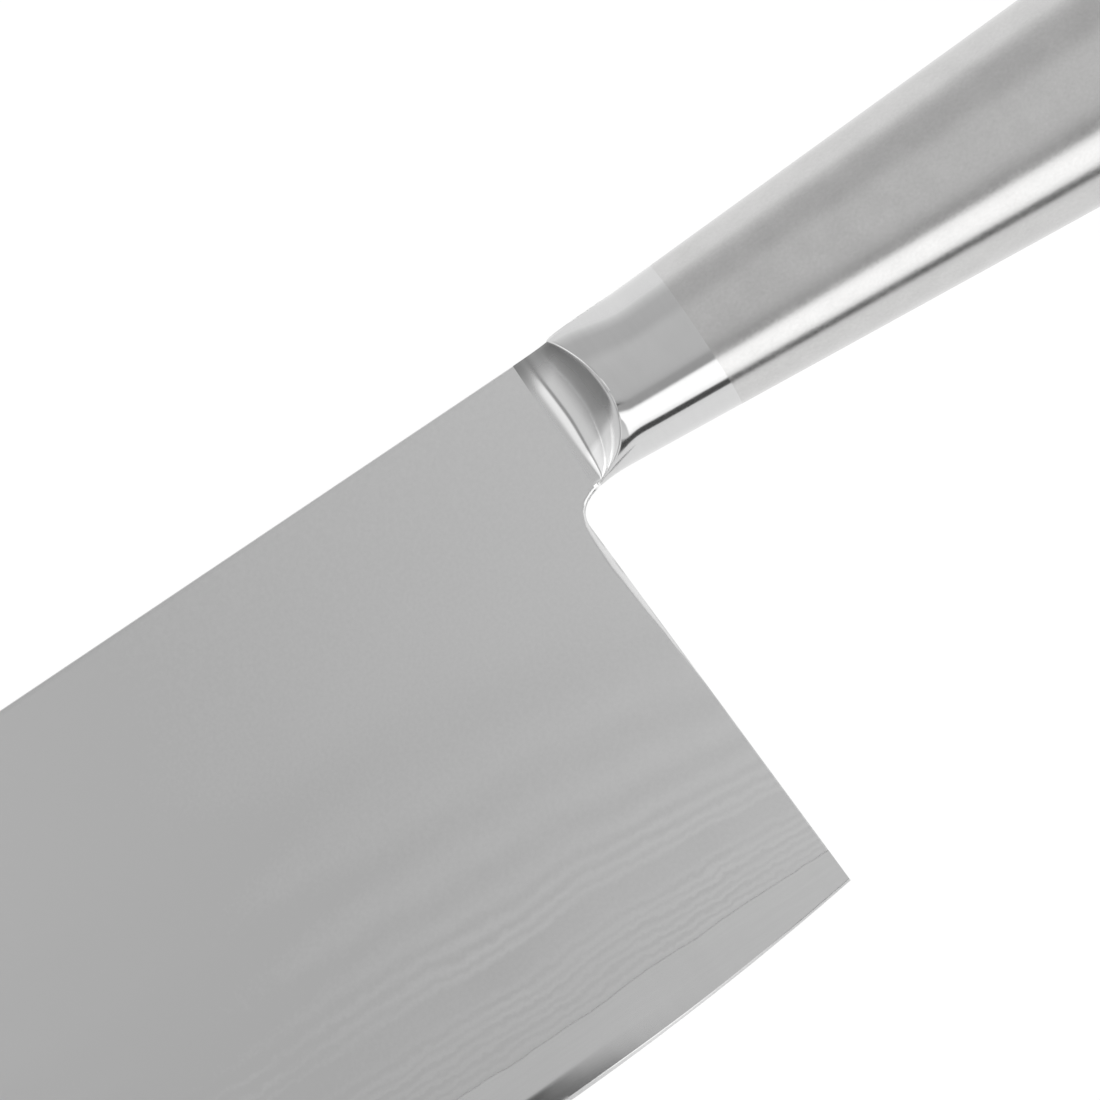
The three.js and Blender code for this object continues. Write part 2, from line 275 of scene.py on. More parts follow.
# %% Core line
RIPPLES = ((26.0, 0.42), (5.2, 0.20), (2.1, 0.16))


def core_line(x):
    wander = sum(size * noise.noise(Vector((x / length, length, 0.5))) for length, size in RIPPLES)
    return straight_core_line(x) + wander


print(f"the core line comes out {core_line(belly_x):.2f} mm below the spine at the belly")

# %% [markdown]
# ## Left and right patterned layers
#
# A patterned layer is flat, so a grid over its outline is enough, but its rim matters. The spine is
# softly rounded, and round the choil the maker breaks the edge with a file: a narrow strip in the
# curve, then a crescent down the heel that fades out half way. We need the true distance of a point
# from that edge, and a list of how wide the file cut at which depth.

# %% Filed edge of the choil
FILED_WIDTHS = (
    (19.0, 0.5), (19.9, 0.48), (20.6, 0.38), (21.6, 0.42), (24.5, 0.74),
    (28.5, 0.88), (34.0, 0.72), (41.0, 0.4), (48.0, 0.06), (80.0, 0.06),
)
FILED_FALL = 0.5
FILED_ROUND = 0.9
CHOIL_BEHIND_JOINT = 2.5
CHOIL_STEPS = 160
FAR_FROM_FILE = 9.0


def between(a, b, share):
    return a + (b - a) * share


def ease(share):
    t = min(1.0, max(0.0, share))
    return t * t * (3 - 2 * t)


def fade(value, start, end):
    return ease((value - start) / (end - start))


def spread(start, end, count):
    return [between(start, end, i / count) for i in range(count + 1)]


def filed_width(depth):
    for (a, wide_a), (b, wide_b) in zip(FILED_WIDTHS, FILED_WIDTHS[1:]):
        if depth <= b:
            return between(wide_a, wide_b, fade(depth, a, b))
    return FILED_WIDTHS[-1][1]


choil_start = share_of_three(*choil_xs, CHOIL_BEHIND_JOINT, 1)
choil_line = []
for t in spread(choil_start, 0.0, CHOIL_STEPS):
    choil_line.append((curve_of_three(*choil_xs, t), curve_of_three(*choil_depths, t)))


def filed_share(x, depth):
    from_heel = heel_line(depth) - x if depth > choil_low_depth else FAR_FROM_FILE
    from_choil = min(math.hypot(x - cx, depth - cy) for cx, cy in choil_line)
    return max(0.0, min(from_heel, from_choil)) / filed_width(depth)


def filed_drop(x, depth):
    short = max(0.0, 1 - filed_share(x, depth))
    fall = FILED_FALL * short + FILED_ROUND * max(0.0, short - 0.5) ** 2
    return fall * filed_width(depth)


print(f"the file cut up to {max(width for depth, width in FILED_WIDTHS):.2f} mm wide")

# %% [markdown]
# Now the layers themselves. Columns crowd together near the heel, and each point is let down by the
# height that the file took off. The lowest rows follow the wavy core line, and that wave dies out
# quickly toward the spine.

# %% Patterned layers
SPINE_ROUND = 0.28
REAR_REACH = 1.9
REAR_STEPS = 15
FRONT_EASE = 0.2
FRONT_STEPS = 4
BLADE_COLUMNS = 430
WAVE_POWER = 8
LEAST_THICKNESS = 0.02


def layer_depths():
    depths = [0.0, 0.03, 0.08, 0.15, SPINE_ROUND]
    depths += spread(1.0, joint_depth - 1.4, 12)
    depths += spread(joint_depth - 0.8, joint_depth, 6)
    depths += spread(joint_depth + 0.1, choil_low_depth, 24)
    depths += spread(choil_low_depth + 0.6, CORE_LINE_DEPTH - 9, 40)
    depths += spread(CORE_LINE_DEPTH - 8, CORE_LINE_DEPTH, 10)
    return depths


def spine_drop(depth):
    short = max(0.0, SPINE_ROUND - depth)
    return SPINE_ROUND - math.sqrt(max(0.0, SPINE_ROUND ** 2 - short ** 2))


def layer_row(depth):
    rear = rear_x(depth)
    front = front_of_blade(depth)
    xs = spread(front, front + FRONT_EASE, FRONT_STEPS)
    xs += spread(front + 2 * FRONT_EASE, rear - REAR_REACH, BLADE_COLUMNS)
    xs += spread(rear - REAR_REACH, rear, REAR_STEPS)[1:]
    wave = (depth / CORE_LINE_DEPTH) ** WAVE_POWER
    row = []
    for x in xs:
        drop = spine_drop(depth)
        from_front = x - front
        if rear - x < 2 * REAR_REACH:
            drop += filed_drop(x, depth)
        if from_front < FRONT_EASE:
            drop += 0.5 * FRONT_EASE * (1 - from_front / FRONT_EASE) ** 2
        shifted = depth + (core_line(x) - CORE_LINE_DEPTH) * wave
        z = max(CLADDING_INSIDE + LEAST_THICKNESS, face_height(shifted) - drop)
        row.append((x, shifted, z))
    return row


layer_rows = [layer_row(depth) for depth in layer_depths()]


def placed(rows, side):
    return [[place(x, -depth, side * z) for x, depth, z in row] for row in rows]


def patterned_layer(name, side):
    flat_rows = [[(x, depth, CLADDING_INSIDE) for x, depth, z in row] for row in layer_rows]
    return closed_sheet(name, placed(layer_rows, side), placed(flat_rows, side))


left_layer = patterned_layer("left_patterned_layer", 1)
right_layer = patterned_layer("right_patterned_layer", -1)

# %% [markdown]
# ## Where each point lies in the stack
#
# The pattern on the steel is a map of the layers that the grinder cut through. Points at the same
# height above the core line lie in the same layer, and near the heel less was ground away, so the
# lines swing down toward the edge there. We store that height on every point and let the
# material turn it into lines later.

# %% Layer heights
HEEL_SWING = 0.4
HEEL_SWING_GROWTH = 0.24
HEEL_SWING_REACH = 26.0
FILED_FRONT_X = -8.0


def x_and_depth(point):
    return (point.x - joint_x) / MM, (spine_y - point.y) / MM


def store(piece, name, measure):
    values = piece.data.attributes.new(name, "FLOAT", "POINT")
    for i, vertex in enumerate(piece.data.vertices):
        values.data[i].value = measure(*x_and_depth(vertex.co))
    print(f"{piece.name}: {name} stored on {len(values.data)} points")


def above_core_line(x, depth):
    return core_line(x) - depth


def stack_height(x, depth):
    above = above_core_line(x, depth)
    behind = max(0.0, rear_x(depth) - x)
    swing = HEEL_SWING + HEEL_SWING_GROWTH * max(0.0, above)
    return above + swing * math.exp(-behind / HEEL_SWING_REACH)


def near_file(x, depth):
    return min(FAR_FROM_FILE, filed_share(x, depth)) if x > FILED_FRONT_X else FAR_FROM_FILE


for layer in (left_layer, right_layer):
    store(layer, "above_core_line", above_core_line)
    store(layer, "stack_height", stack_height)
    store(layer, "filed_share", near_file)

# %% [markdown]
# ## The core plate and its edge
#
# The core is a thin plate that shows as a bright band below the core line. The band is not flat: it
# rolls over toward the edge, more at the belly than at the heel, and ends in a narrow bevel on each
# side. We draw half the section as a height over depth, and mirror it for the other side.

# %% Section of the core
BAND_TOP = CORE_HALF + 0.05
GROOVE = 0.1
BAND_SLOPE = 0.004
HEEL_BAND_SLOPE = 0.03
BELLY_ROLL_LENGTH = 3.0
BELLY_ROLL_SLOPE = math.tan(math.radians(6.4))
BELLY_ROLL_POWER = 5
BEVEL_AT_HEEL = 0.36
BEVEL_AT_BELLY = 0.58
ROLL_START_X = -21.0
ROLL_FULL_X = -50.0


def belly_share(x):
    return fade(x, ROLL_START_X, ROLL_FULL_X)


def bevel_width(x):
    return between(BEVEL_AT_HEEL, BEVEL_AT_BELLY, belly_share(x))


def roll_fall(run, slope):
    rolled = max(0.0, run) / BELLY_ROLL_LENGTH
    turned = rolled - (1 - (1 - rolled) ** BELLY_ROLL_POWER) / BELLY_ROLL_POWER
    return (BELLY_ROLL_SLOPE - slope) * BELLY_ROLL_LENGTH * turned


def core_height(x, depth):
    line = core_line(x)
    if depth < line + GROOVE:
        return between(CORE_HALF, BAND_TOP, ease((depth - line) / GROOVE))
    share = belly_share(x)
    slope = between(HEEL_BAND_SLOPE, BAND_SLOPE, share)
    shoulder = edge_depth(x) - bevel_width(x)
    on_band = min(depth, shoulder)
    fall = roll_fall(on_band - (shoulder - BELLY_ROLL_LENGTH), slope)
    band = BAND_TOP - slope * max(0.0, on_band - line) - share * fall
    if depth <= shoulder:
        return band
    return band * max(0.0, edge_depth(x) - depth) / bevel_width(x)


print(f"bevel from {bevel_width(0):.2f} mm at the heel to {bevel_width(belly_x):.2f} mm at the belly")

# %% [markdown]
# The rows follow the features: some lie at a fixed depth, some along the wavy line, some share out
# the band, and the last ones cut the bevel. Such a row needs x to find its depth and the depth to
# find x, so we let the two settle in a few turns.

# %% Core plate
EDGE_SHARP_ANGLE = math.radians(5)
SETTLING_TURNS = 4
BEVEL_INSIDE = 0.95


def core_depth_rows():
    rows = [("fixed", d) for d in spread(0.0, joint_depth, 4)]
    rows += [("fixed", d) for d in spread(joint_depth + 0.3, choil_low_depth, 10)]
    rows += [("fixed", d) for d in spread(choil_low_depth + 3, CORE_LINE_DEPTH - 4, 8)]
    rows += [("line", below) for below in (-1.0, 0.0, 0.03, 0.06, GROOVE)]
    rows += [("band", share) for share in spread(0.04, 1.0, 22)]
    rows += [("bevel", share) for share in (0.33, 0.67, 1.0)]
    return rows


def core_row(kind, value):
    start_depth = value if kind == "fixed" else edge_depth(front_x)
    end_depth = value if kind == "fixed" else HEEL_HEIGHT
    row = []
    for share in spread(0.0, 1.0, BLADE_COLUMNS):
        depth = between(start_depth, end_depth, share)
        for _ in range(SETTLING_TURNS):
            x = between(front_of_blade(depth), rear_x(depth), share)
            if kind == "line":
                depth = core_line(x) + value
            if kind == "band":
                depth = between(core_line(x) + GROOVE, edge_depth(x) - bevel_width(x), value)
            if kind == "bevel":
                depth = edge_depth(x) - bevel_width(x) * (1 - value)
        row.append((x, depth, core_height(x, depth)))
    return row


core_rows = [core_row(kind, value) for kind, value in core_depth_rows()]
core_plate = closed_sheet(
    "blade_core", placed(core_rows, 1), placed(core_rows, -1), EDGE_SHARP_ANGLE
)


def below_core_line(x, depth):
    return depth - core_line(x)


def on_bevel(x, depth):
    return float(edge_depth(x) - depth < BEVEL_INSIDE * bevel_width(x))


store(core_plate, "below_core_line", below_core_line)
store(core_plate, "on_bevel", on_bevel)

# %% [markdown]
# ## Outside of bolster and handle
#
# Bolster and handle share one outside, an oval that flares toward the butt. A rounded oval with an
# exponent a little above 2 is fuller than an ellipse, as a pressed steel handle is. At the neck the
# top of the oval is ground off level with the spine, and its underside is thinned into the choil.

# %% Oval of the handle
NECK_RISE = 0.2
NECK_HALF_THICKNESS = 8.4
TOP_FLARE = math.tan(math.radians(1.96))
SIDE_FLARE = math.tan(math.radians(2.05))
GRIP_FULLNESS = 2.15
KEEL_FULLNESS = 2.3
KEEL_FADE = (4.0, 10.5)
CROWN_CUT = 1.8
CROWN_FADE = (6.0, 16.0)
SHOULDER_X = 5.2
SHOULDER_LENGTH = 1.8
BUTT_ROUNDING = 28.0
BUTT_FULLNESS = 2.4


def quarter_round(share):
    t = min(1.0, max(0.0, share))
    return math.sqrt(1 - (1 - t) ** 2)


def oval(x):
    top = (NECK_RISE + x * TOP_FLARE) * quarter_round((x - SHOULDER_X) / SHOULDER_LENGTH)
    bottom = -(choil_depth(x) if x < choil_rear_x else underside_depth(x))
    return (top + bottom) / 2, (top - bottom) / 2, NECK_HALF_THICKNESS + x * SIDE_FLARE


def fullness(x, up):
    return GRIP_FULLNESS if up > 0 else between(KEEL_FULLNESS, GRIP_FULLNESS, fade(x, *KEEL_FADE))


def crown_cut(x, up):
    return CROWN_CUT * (1 - fade(x, *CROWN_FADE)) if up > 0 else 0.0


def butt_share(x, inset):
    along = max(0.0, x - (BUTT_X - BUTT_ROUNDING)) / (BUTT_ROUNDING - inset)
    return max(0.0, 1 - along ** BUTT_FULLNESS) ** (1 / BUTT_FULLNESS)


def oval_point(x, angle, inset=0.0):
    middle, half_height, half_thickness = oval(x)
    share = butt_share(x, inset)
    up = math.cos(angle)
    out = math.sin(angle)
    power = 2 / fullness(x, up)
    rise = math.copysign(abs(up) ** power, up)
    reach = half_height - inset
    y = middle + min(reach, (reach + crown_cut(x, up)) * rise) * share
    z = (half_thickness - inset) * share * abs(out) ** power
    return x, y, z


def oval_angle(x, y):
    middle, half_height = oval(x)[:2]
    share = max(-1.0, min(1.0, (y - middle) / (half_height + crown_cut(x, y - middle))))
    return math.acos(math.copysign(abs(share) ** (fullness(x, share) / 2), share))


print(f"the handle starts {2 * oval(SHELL_FRONT)[1]:.1f} mm high")

# %% [markdown]
# ## Bolster
#
# Each side of the bolster has a scooped hollow that runs out flat into the blade. On the real knife
# a small wheel cuts it, and what the eye follows is its rear rim, a crease that bulges toward the
# handle and then sweeps forward into the choil. So we draw that crease first, as one cubic curve in
# the side view.

# %% Crease of the bolster
CREASE = ((5.5, 0.0), (8.5, 4.8), (10.8, 16.1), (0.9, 18.72))
CREASE_SAMPLES = 400


def crease_point(s):
    weights = ((1 - s) ** 3, 3 * s * (1 - s) ** 2, 3 * s * s * (1 - s), s ** 3)
    x = sum(w * p[0] for w, p in zip(weights, CREASE))
    depth = sum(w * p[1] for w, p in zip(weights, CREASE))
    return x, depth


crease_line = [(s, *crease_point(s)) for s in spread(0.0, 1.0, CREASE_SAMPLES)]
low_crease_x = CREASE[-1][0]


def nearest_crease(x, depth):
    s, crease_x, crease_depth = min(crease_line, key=lambda p: math.hypot(x - p[1], depth - p[2]))
    return s, math.hypot(x - crease_x, depth - crease_depth)


print(f"the crease reaches back to x = {max(p[1] for p in crease_line):.2f} mm")

# %% [markdown]
# Behind the crease lies the flank. It is the plain oval, except toward the choil, where the neck
# thins down to the blade, and in a narrow zone along the lower crease, where the mop has rounded
# the metal off. That soft roll bends the dark reflection under the neck down toward the crease.

# %% Flank behind the crease
FLANK_BLEND = 8.0
LOW_RIM_START = 0.5
LOW_RIM_FALL = 0.72
LOW_RIM_POWER = 4.5
ROLLOFF_FALL = 0.85
ROLLOFF_WIDTH = 3.0
ROLLOFF_FADE = (0.54, 0.84)
ROLLOFF_FULL_HEIGHT = 6.0


def rim_share(s):
    low = max(0.0, (s - LOW_RIM_START) / (1 - LOW_RIM_START))
    return 1 - LOW_RIM_FALL * low ** LOW_RIM_POWER


def flank_point(x, angle):
    point = Vector(oval_point(x, angle))
    s, away = nearest_crease(x, -point.y)
    near = max(0.0, 1 - away / FLANK_BLEND) ** 2
    point.z *= between(1.0, rim_share(s), near)
    rolled = max(0.0, 1 - away / ROLLOFF_WIDTH) ** 3 * fade(s, *ROLLOFF_FADE)
    point.z -= ROLLOFF_FALL * rolled * ease(point.z / ROLLOFF_FULL_HEIGHT)
    return point


print(f"the rim falls to {rim_share(1.0):.2f} of the oval at its lower end")

# %% [markdown]
# From the crease a slope falls forward and flattens out on the blade. We make it a row of points for
# each place along the crease: first the hollow from its foot up, then a small rounded corner, which
# is wider low down, and then the flank back to the handle.

# %% Hollow
SCOOP_STEPS = 30
SCOOP_STEEPENING = 0.45
SCOOP_ROUNDS = (0.25, 2.4)
SCOOP_ROUND_FADE = (0.25, 0.75)
LOW_RISE_POWER = 2.0
LOWER_FADE = (0.45, 0.8)
FOOT_CURVE = 0.0035
FOOT_REACH = 0.6
FOOT_FAN = 8.0
FOOT_FAN_FADE = (0.4, 0.75)
FLANK_START = 0.385
CORNER_STEPS = 8
CORNER_ENDS = (0.1, 0.9)
BODY_STEPS = 22


def scoop_rise(along, lower):
    wheel = (1 - SCOOP_STEEPENING) * along ** 2 + SCOOP_STEEPENING * along ** 4
    return between(wheel, along ** LOW_RISE_POWER, lower)


def scoop_foot(s):
    crease_x, crease_depth = crease_point(s)
    depth = crease_depth + FOOT_FAN * fade(s, *FOOT_FAN_FADE) * (1 - s)
    x = min(FOOT_CURVE * depth * depth, FOOT_REACH * crease_x)
    return Vector((x, -depth, face_height(depth)))


def scoop_row(s):
    crease_x, crease_depth = crease_point(s)
    angle = oval_angle(crease_x, -crease_depth)
    rim = flank_point(crease_x, angle)
    foot = scoop_foot(s)
    lower = fade(s, *LOWER_FADE)
    scoop_round = between(*SCOOP_ROUNDS, fade(s, *SCOOP_ROUND_FADE))
    reach = 1 - min(0.5, scoop_round / (rim - foot).length)
    scoop = [Vector((0.0, foot.y, foot.z))]
    for share in spread(0.0, reach, SCOOP_STEPS - 1):
        point = foot.lerp(rim, share)
        point.z = between(foot.z, rim.z, scoop_rise(share, lower))
        scoop.append(point)
    xs = spread(crease_x + FLANK_START, SHELL_FRONT, BODY_STEPS)
    body = [flank_point(x, angle) for x in xs]
    before = scoop[-1].lerp(rim, CORNER_ENDS[0])
    after = rim.lerp(body[0], CORNER_ENDS[1])
    corner = [curve_of_three(before, rim, after, t) for t in spread(0.0, 1.0, CORNER_STEPS)]
    return angle, scoop + corner + body


top_angle, top_row = scoop_row(0.0)
low_angle, low_row = scoop_row(1.0)
print(f"hollow from {-top_row[0].y:.2f} to {-low_row[0].y:.2f} mm below the spine")

# %% [markdown]
# Above the hollow the bolster closes over the spine, and below it the keel closes into the choil.
# The keel's front end has to meet the filed edge of the blade, so there the points change over from
# the oval to the filed height.

# %% Bolster rows
CREASE_ROWS = 44
CROWN_ROWS = 6
KEEL_SHARES = (0.3, 0.58, 0.8, 0.93, 0.985, 1.0)
KEEL_BLEND = 1.5


def crown_row(share):
    row = []
    for i, edge in enumerate(top_row):
        if i <= SCOOP_STEPS:
            row.append(Vector((edge.x, edge.y, edge.z * share)))
        else:
            row.append(flank_point(edge.x, top_angle * share))
    return row


def keel_row(share):
    below = between(low_angle, math.pi, share)
    row = []
    for i, edge in enumerate(low_row):
        point = Vector(oval_point(edge.x, below))
        point.z *= edge.z / max(0.01, oval_point(edge.x, low_angle)[2])
        behind = ease((edge.x - low_crease_x) / KEEL_BLEND)
        point.z = between(point.z, max(0.0, flank_point(edge.x, below).z), behind)
        if i <= SCOOP_STEPS and share < 1:
            filed_z = face_height(-point.y) - filed_drop(edge.x, -point.y)
            point.z = between(filed_z, point.z, ease(edge.x / low_crease_x))
        row.append(point)
    return row


bolster_rows = [crown_row(i / CROWN_ROWS) for i in range(CROWN_ROWS)]
bolster_rows += [scoop_row(i / CREASE_ROWS)[1] for i in range(CREASE_ROWS + 1)]
bolster_rows += [keel_row(share) for share in KEEL_SHARES]
print(f"{len(bolster_rows)} rows of {len(low_row)} points on each side of the bolster")

# %% [markdown]
# The rows run along the bolster and the rings run round it. Behind the shoulder a spigot enters the
# handle, and a slot for the tang goes right through, so the rings close on themselves like the skin
# of a long ring.

# %% Bolster rings
SHELL_WALL = 1.2
SPIGOT_CLEARANCE = 0.2
TANG_TOP = 3.8
TANG_HEIGHT = 11.0
TANG_HALF = 0.65
TANG_CLEARANCE = 0.15

slot_top = -TANG_TOP + TANG_CLEARANCE
slot_height = TANG_HEIGHT + 2 * TANG_CLEARANCE
slot_half = TANG_HALF + TANG_CLEARANCE


def slot_point(x, share):
    along = share * (slot_height + 2 * slot_half)
    if along < slot_half:
        return Vector((x, slot_top, along))
    if along < slot_half + slot_height:
        return Vector((x, slot_top - (along - slot_half), slot_half))
    return Vector((x, slot_top - slot_height, max(0.0, 2 * slot_half + slot_height - along)))


def ring_of(half_ring):
    right = [Vector((p.x, p.y, -p.z)) for p in reversed(half_ring[1:-1])]
    return [place(p.x, p.y, p.z) for p in half_ring + right]


half_rings = [list(points) for points in zip(*bolster_rows)]
rear_angles = [oval_angle(SHELL_FRONT, p.y) for p in half_rings[-1]]
spigot_inset = SHELL_WALL + SPIGOT_CLEARANCE
spigot = [Vector(oval_point(SHELL_FRONT, angle, spigot_inset)) for angle in rear_angles]
half_rings.append(spigot)
half_rings.append([Vector((SPIGOT_END, p.y, p.z)) for p in spigot])
for slot_x in (SPIGOT_END, 0.0):
    half_rings.append([slot_point(slot_x, share) for share in spread(0.0, 1.0, len(spigot) - 1)])
bolster = closed_ring_of_rings("polished_bolster", [ring_of(half) for half in half_rings])

# %% [markdown]
# The hollow carries painted light and shade in its colour. It is painted darker toward the spine and
# up the wall under the crease, where it is also a little rougher, and the lower lip and the crease
# itself get a painted highlight. We store that value on each point, from -1 to 1, and hand it to the
# material.

# %% Painted light and shade in the hollow
TOP_FADE = (0.5, 5.5)
WALL_FOOT_X = 2.0
WALL_FADE = (10.5, 14.0)
LIP_FADE = (5.0, 8.0)
LIP_WIDTHS = (0.3, 1.3)
LIP_WIDENING = (10.5, 13.5)
LOW_END_LEAN = 0.45
LOW_END_FADE = (15.2, 16.6)
LOW_END_FRONT = (1.2, 2.2)
RIM_WIDTH = 0.3
ON_FLANK = 0.02
ON_CROWN = 0.01


# Painted light: below zero the hollow gets painted shade, above zero a painted highlight.
def paint_light_and_shade(x, depth):
    crease_x = min(crease_line, key=lambda p: abs(p[2] - depth))[1]
    if depth < -ON_CROWN or x > crease_x + ON_FLANK:
        return 0.0
    lip_width = between(*LIP_WIDTHS, fade(depth, *LIP_WIDENING))
    lip = fade(depth, *LIP_FADE) * ease(1 - (crease_x - x) / lip_width)
    low_end = fade(depth + LOW_END_LEAN * x, *LOW_END_FADE) * fade(x, *LOW_END_FRONT)
    painted_highlight = max(lip, low_end)
    top = 1 - fade(depth, *TOP_FADE)
    wall = fade(x, WALL_FOOT_X, crease_x) * (1 - fade(depth, *WALL_FADE))
    return painted_highlight - (1 - painted_highlight) * max(top, wall) * ease((crease_x - x) / RIM_WIDTH)


store(bolster, "painted_light_and_shade", paint_light_and_shade)

# %% [markdown]
# ## Handle shells
#
# The handle is pressed as two thin shells and welded along its top and bottom. Each shell is half the
# oval, swept from the bolster to a round butt. The inside is the same sweep drawn in by the wall.

# %% Handle shells
SHELL_ROWS = 72
SHELL_COLUMNS = 70
BUTT_COLUMNS = 40


def shell_xs(inset):
    start = BUTT_X - BUTT_ROUNDING
    xs = spread(SHELL_FRONT, start, SHELL_COLUMNS)
    for i in range(1, BUTT_COLUMNS + 1):
        xs.append(start + (BUTT_ROUNDING - inset) * math.sin(math.pi / 2 * i / BUTT_COLUMNS))
    return xs


def shell_row(i, inset, side):
    points = [oval_point(x, math.pi * i / SHELL_ROWS, inset) for x in shell_xs(inset)]
    out = 0.0 if i in (0, SHELL_ROWS) else side
    return [place(x, y, out * z) for x, y, z in points]


def handle_shell(name, side):
    outside = [shell_row(i, 0.0, side) for i in range(SHELL_ROWS + 1)]
    inside = [shell_row(i, SHELL_WALL, side) for i in range(SHELL_ROWS + 1)]
    return closed_sheet(name, outside, inside)


left_shell = handle_shell("left_satin_shell", 1)
right_shell = handle_shell("right_satin_shell", -1)

# %% [markdown]
# ## Materials
#
# All the steel here is bare metal, so the base colour is the tint of the reflection and the finish
# lives in the roughness. A small helper wires a material from a few steps, so that each steel can be
# described by what a polisher would say about it. This first half also serves floor and light.

# %% Wiring helper


class Wiring:
    """Adds nodes to a tree and links them, step by step."""

    def __init__(self, tree):
        self.nodes = tree.nodes
        self.links = tree.links

    def feed(self, socket, value):
        if isinstance(value, bpy.types.NodeSocket):
            self.links.new(value, socket)
        else:
            socket.default_value = value

    def add(self, kind, *values):
        node = self.nodes.new("ShaderNode" + kind)
        for socket, value in zip(node.inputs, values):
            self.feed(socket, value)
        return node

    def math(self, operation, *values):
        node = self.add("Math", *values)
        node.operation = operation
        return node.outputs[0]

    def axes(self, kind):
        return self.add("SeparateXYZ", self.add("TexCoord").outputs[kind]).outputs

    def greys(self, value, stops, interpolation="LINEAR"):
        node = self.add("ValToRGB", value)
        node.color_ramp.interpolation = interpolation
        bands = node.color_ramp.elements
        while len(bands) < len(stops):
            bands.new(0.5)
        for band, (position, level) in zip(bands, stops):
            band.position = position
            band.color = (level, level, level, 1)
        return node.outputs["Color"]

    def glow(self, colour, strength):
        return self.add("Emission", colour, strength).outputs[0]

    def show(self, shader):
        self.links.new(shader, self.nodes["Material Output"].inputs["Surface"])


def new_material(name):
    material = bpy.data.materials.new(name)
    material.use_nodes = True
    return material


# %% [markdown]
# The second half knows the main shader, noise with its grain in millimetres, and the stored values.

# %% Finish helper


class Finish(Wiring):
    """A metal or mineral surface."""

    def __init__(self, name, metallic):
        self.material = new_material(name)
        super().__init__(self.material.node_tree)
        self.shader = self.nodes["Principled BSDF"]
        self.shader.inputs["Metallic"].default_value = metallic
        self.place = self.add("TexCoord").outputs["Object"]

    def stretched(self, x, y, z):
        node = self.add("VectorMath", self.place, (x, y, z))
        node.operation = "MULTIPLY"
        return node.outputs[0]

    def behind_joint(self):
        return self.math("SUBTRACT", self.axes("Object")["X"], joint_x)

    def noise(self, grain_mm, detail, where=None):
        node = self.add("TexNoise", where or self.place)
        node.inputs["Scale"].default_value = 1 / MM / grain_mm
        node.inputs["Detail"].default_value = detail
        return node.outputs["Fac"]

    def stored(self, name):
        node = self.add("Attribute")
        node.attribute_name = name
        return node.outputs["Fac"]

    def remap(self, value, low, high, from_low=0.0, from_high=1.0):
        return self.add("MapRange", value, from_low, from_high, low, high).outputs["Result"]

    def tint(self, value, dark, light):
        node = self.add("ValToRGB", value)
        for band, colour in zip(node.color_ramp.elements, (dark, light)):
            band.color = (*colour, 1)
        return node.outputs["Color"]

    def relief(self, height, depth_mm, strength):
        node = self.add("Bump")
        node.inputs["Distance"].default_value = depth_mm * MM
        node.inputs["Strength"].default_value = strength
        self.feed(node.inputs["Height"], height)
        self.set("Normal", node.outputs["Normal"])

    def set(self, name, value):
        self.feed(self.shader.inputs[name], value)


def shade(value, warmth=0.0):
    return (value * (1 + warmth), value, value * (1 - warmth))


# %% [markdown]
# ### Patterned steel
#
# Two steels were folded together and etched, so bright and dull lines alternate. Just above the core
# line the layers are cut steeply and the lines crowd; then comes one plain thick layer, and higher up
# the cut is so flat that the layers widen into clouds. We list the layers as the grinder met them, by
# their height over the core line, and bend them with noise at three sizes, as the hammer did. Painted
# shade darkens the steel toward the front of the blade, and the steel is made a little lighter near
# the core line. A painted dark line, standing in for a dark reflection, follows the outer edge of the
# filed strip round the choil.

# %% Patterned steel
LAYERS = (
    (0.0, 0.5), (0.75, 0.6), (1.35, 0.36), (1.9, 0.6), (2.75, 0.34), (3.3, 0.62), (3.95, 0.4),
    (4.5, 0.6), (5.4, 0.33), (6.0, 0.63), (6.7, 0.42), (7.3, 0.6), (8.3, 0.36), (9.0, 0.52),
    (10.0, 0.42), (12.8, 0.4), (13.6, 0.6), (14.4, 0.44), (15.2, 0.62), (16.3, 0.4), (17.4, 0.6),
    (18.6, 0.42), (20.0, 0.56), (23.0, 0.43), (26.5, 0.57), (31.0, 0.45), (36.0, 0.55),
    (43.0, 0.46), (52.0, 0.53), (70.0, 0.5),
)
LAYER_CONTRAST = 2.7
PAINTED_FRONT_SHADE = 0.7
PAINTED_SHADE_REACH = 90.0
PAINTED_RIM_LINE = 1.08


def layer_pattern(steel, height):
    drift = steel.remap(steel.noise(26.0, 1.0), -1.0, 1.0)
    ripple = steel.remap(steel.noise(5.5, 2.0), -0.7, 0.7)
    tremble = steel.remap(steel.noise(1.3, 3.0), -0.7, 0.7)
    wavy = steel.math("ADD", steel.math("ADD", height, ripple), tremble)
    room = steel.remap(height, 0.4, 4.0, 2.0, 40.0)
    wavy = steel.math("MULTIPLY_ADD", drift, room, wavy)
    stops = [(mm / CORE_LINE_DEPTH, level) for mm, level in LAYERS]
    layers = steel.greys(steel.math("DIVIDE", wavy, CORE_LINE_DEPTH), stops, "EASE")
    patch = steel.noise(14.0, 2.0)
    contrast = steel.remap(patch, 0.3 * LAYER_CONTRAST, 1.25 * LAYER_CONTRAST, 0.3, 0.7)
    return steel.math("MULTIPLY_ADD", steel.math("SUBTRACT", layers, 0.5), contrast, 0.5)


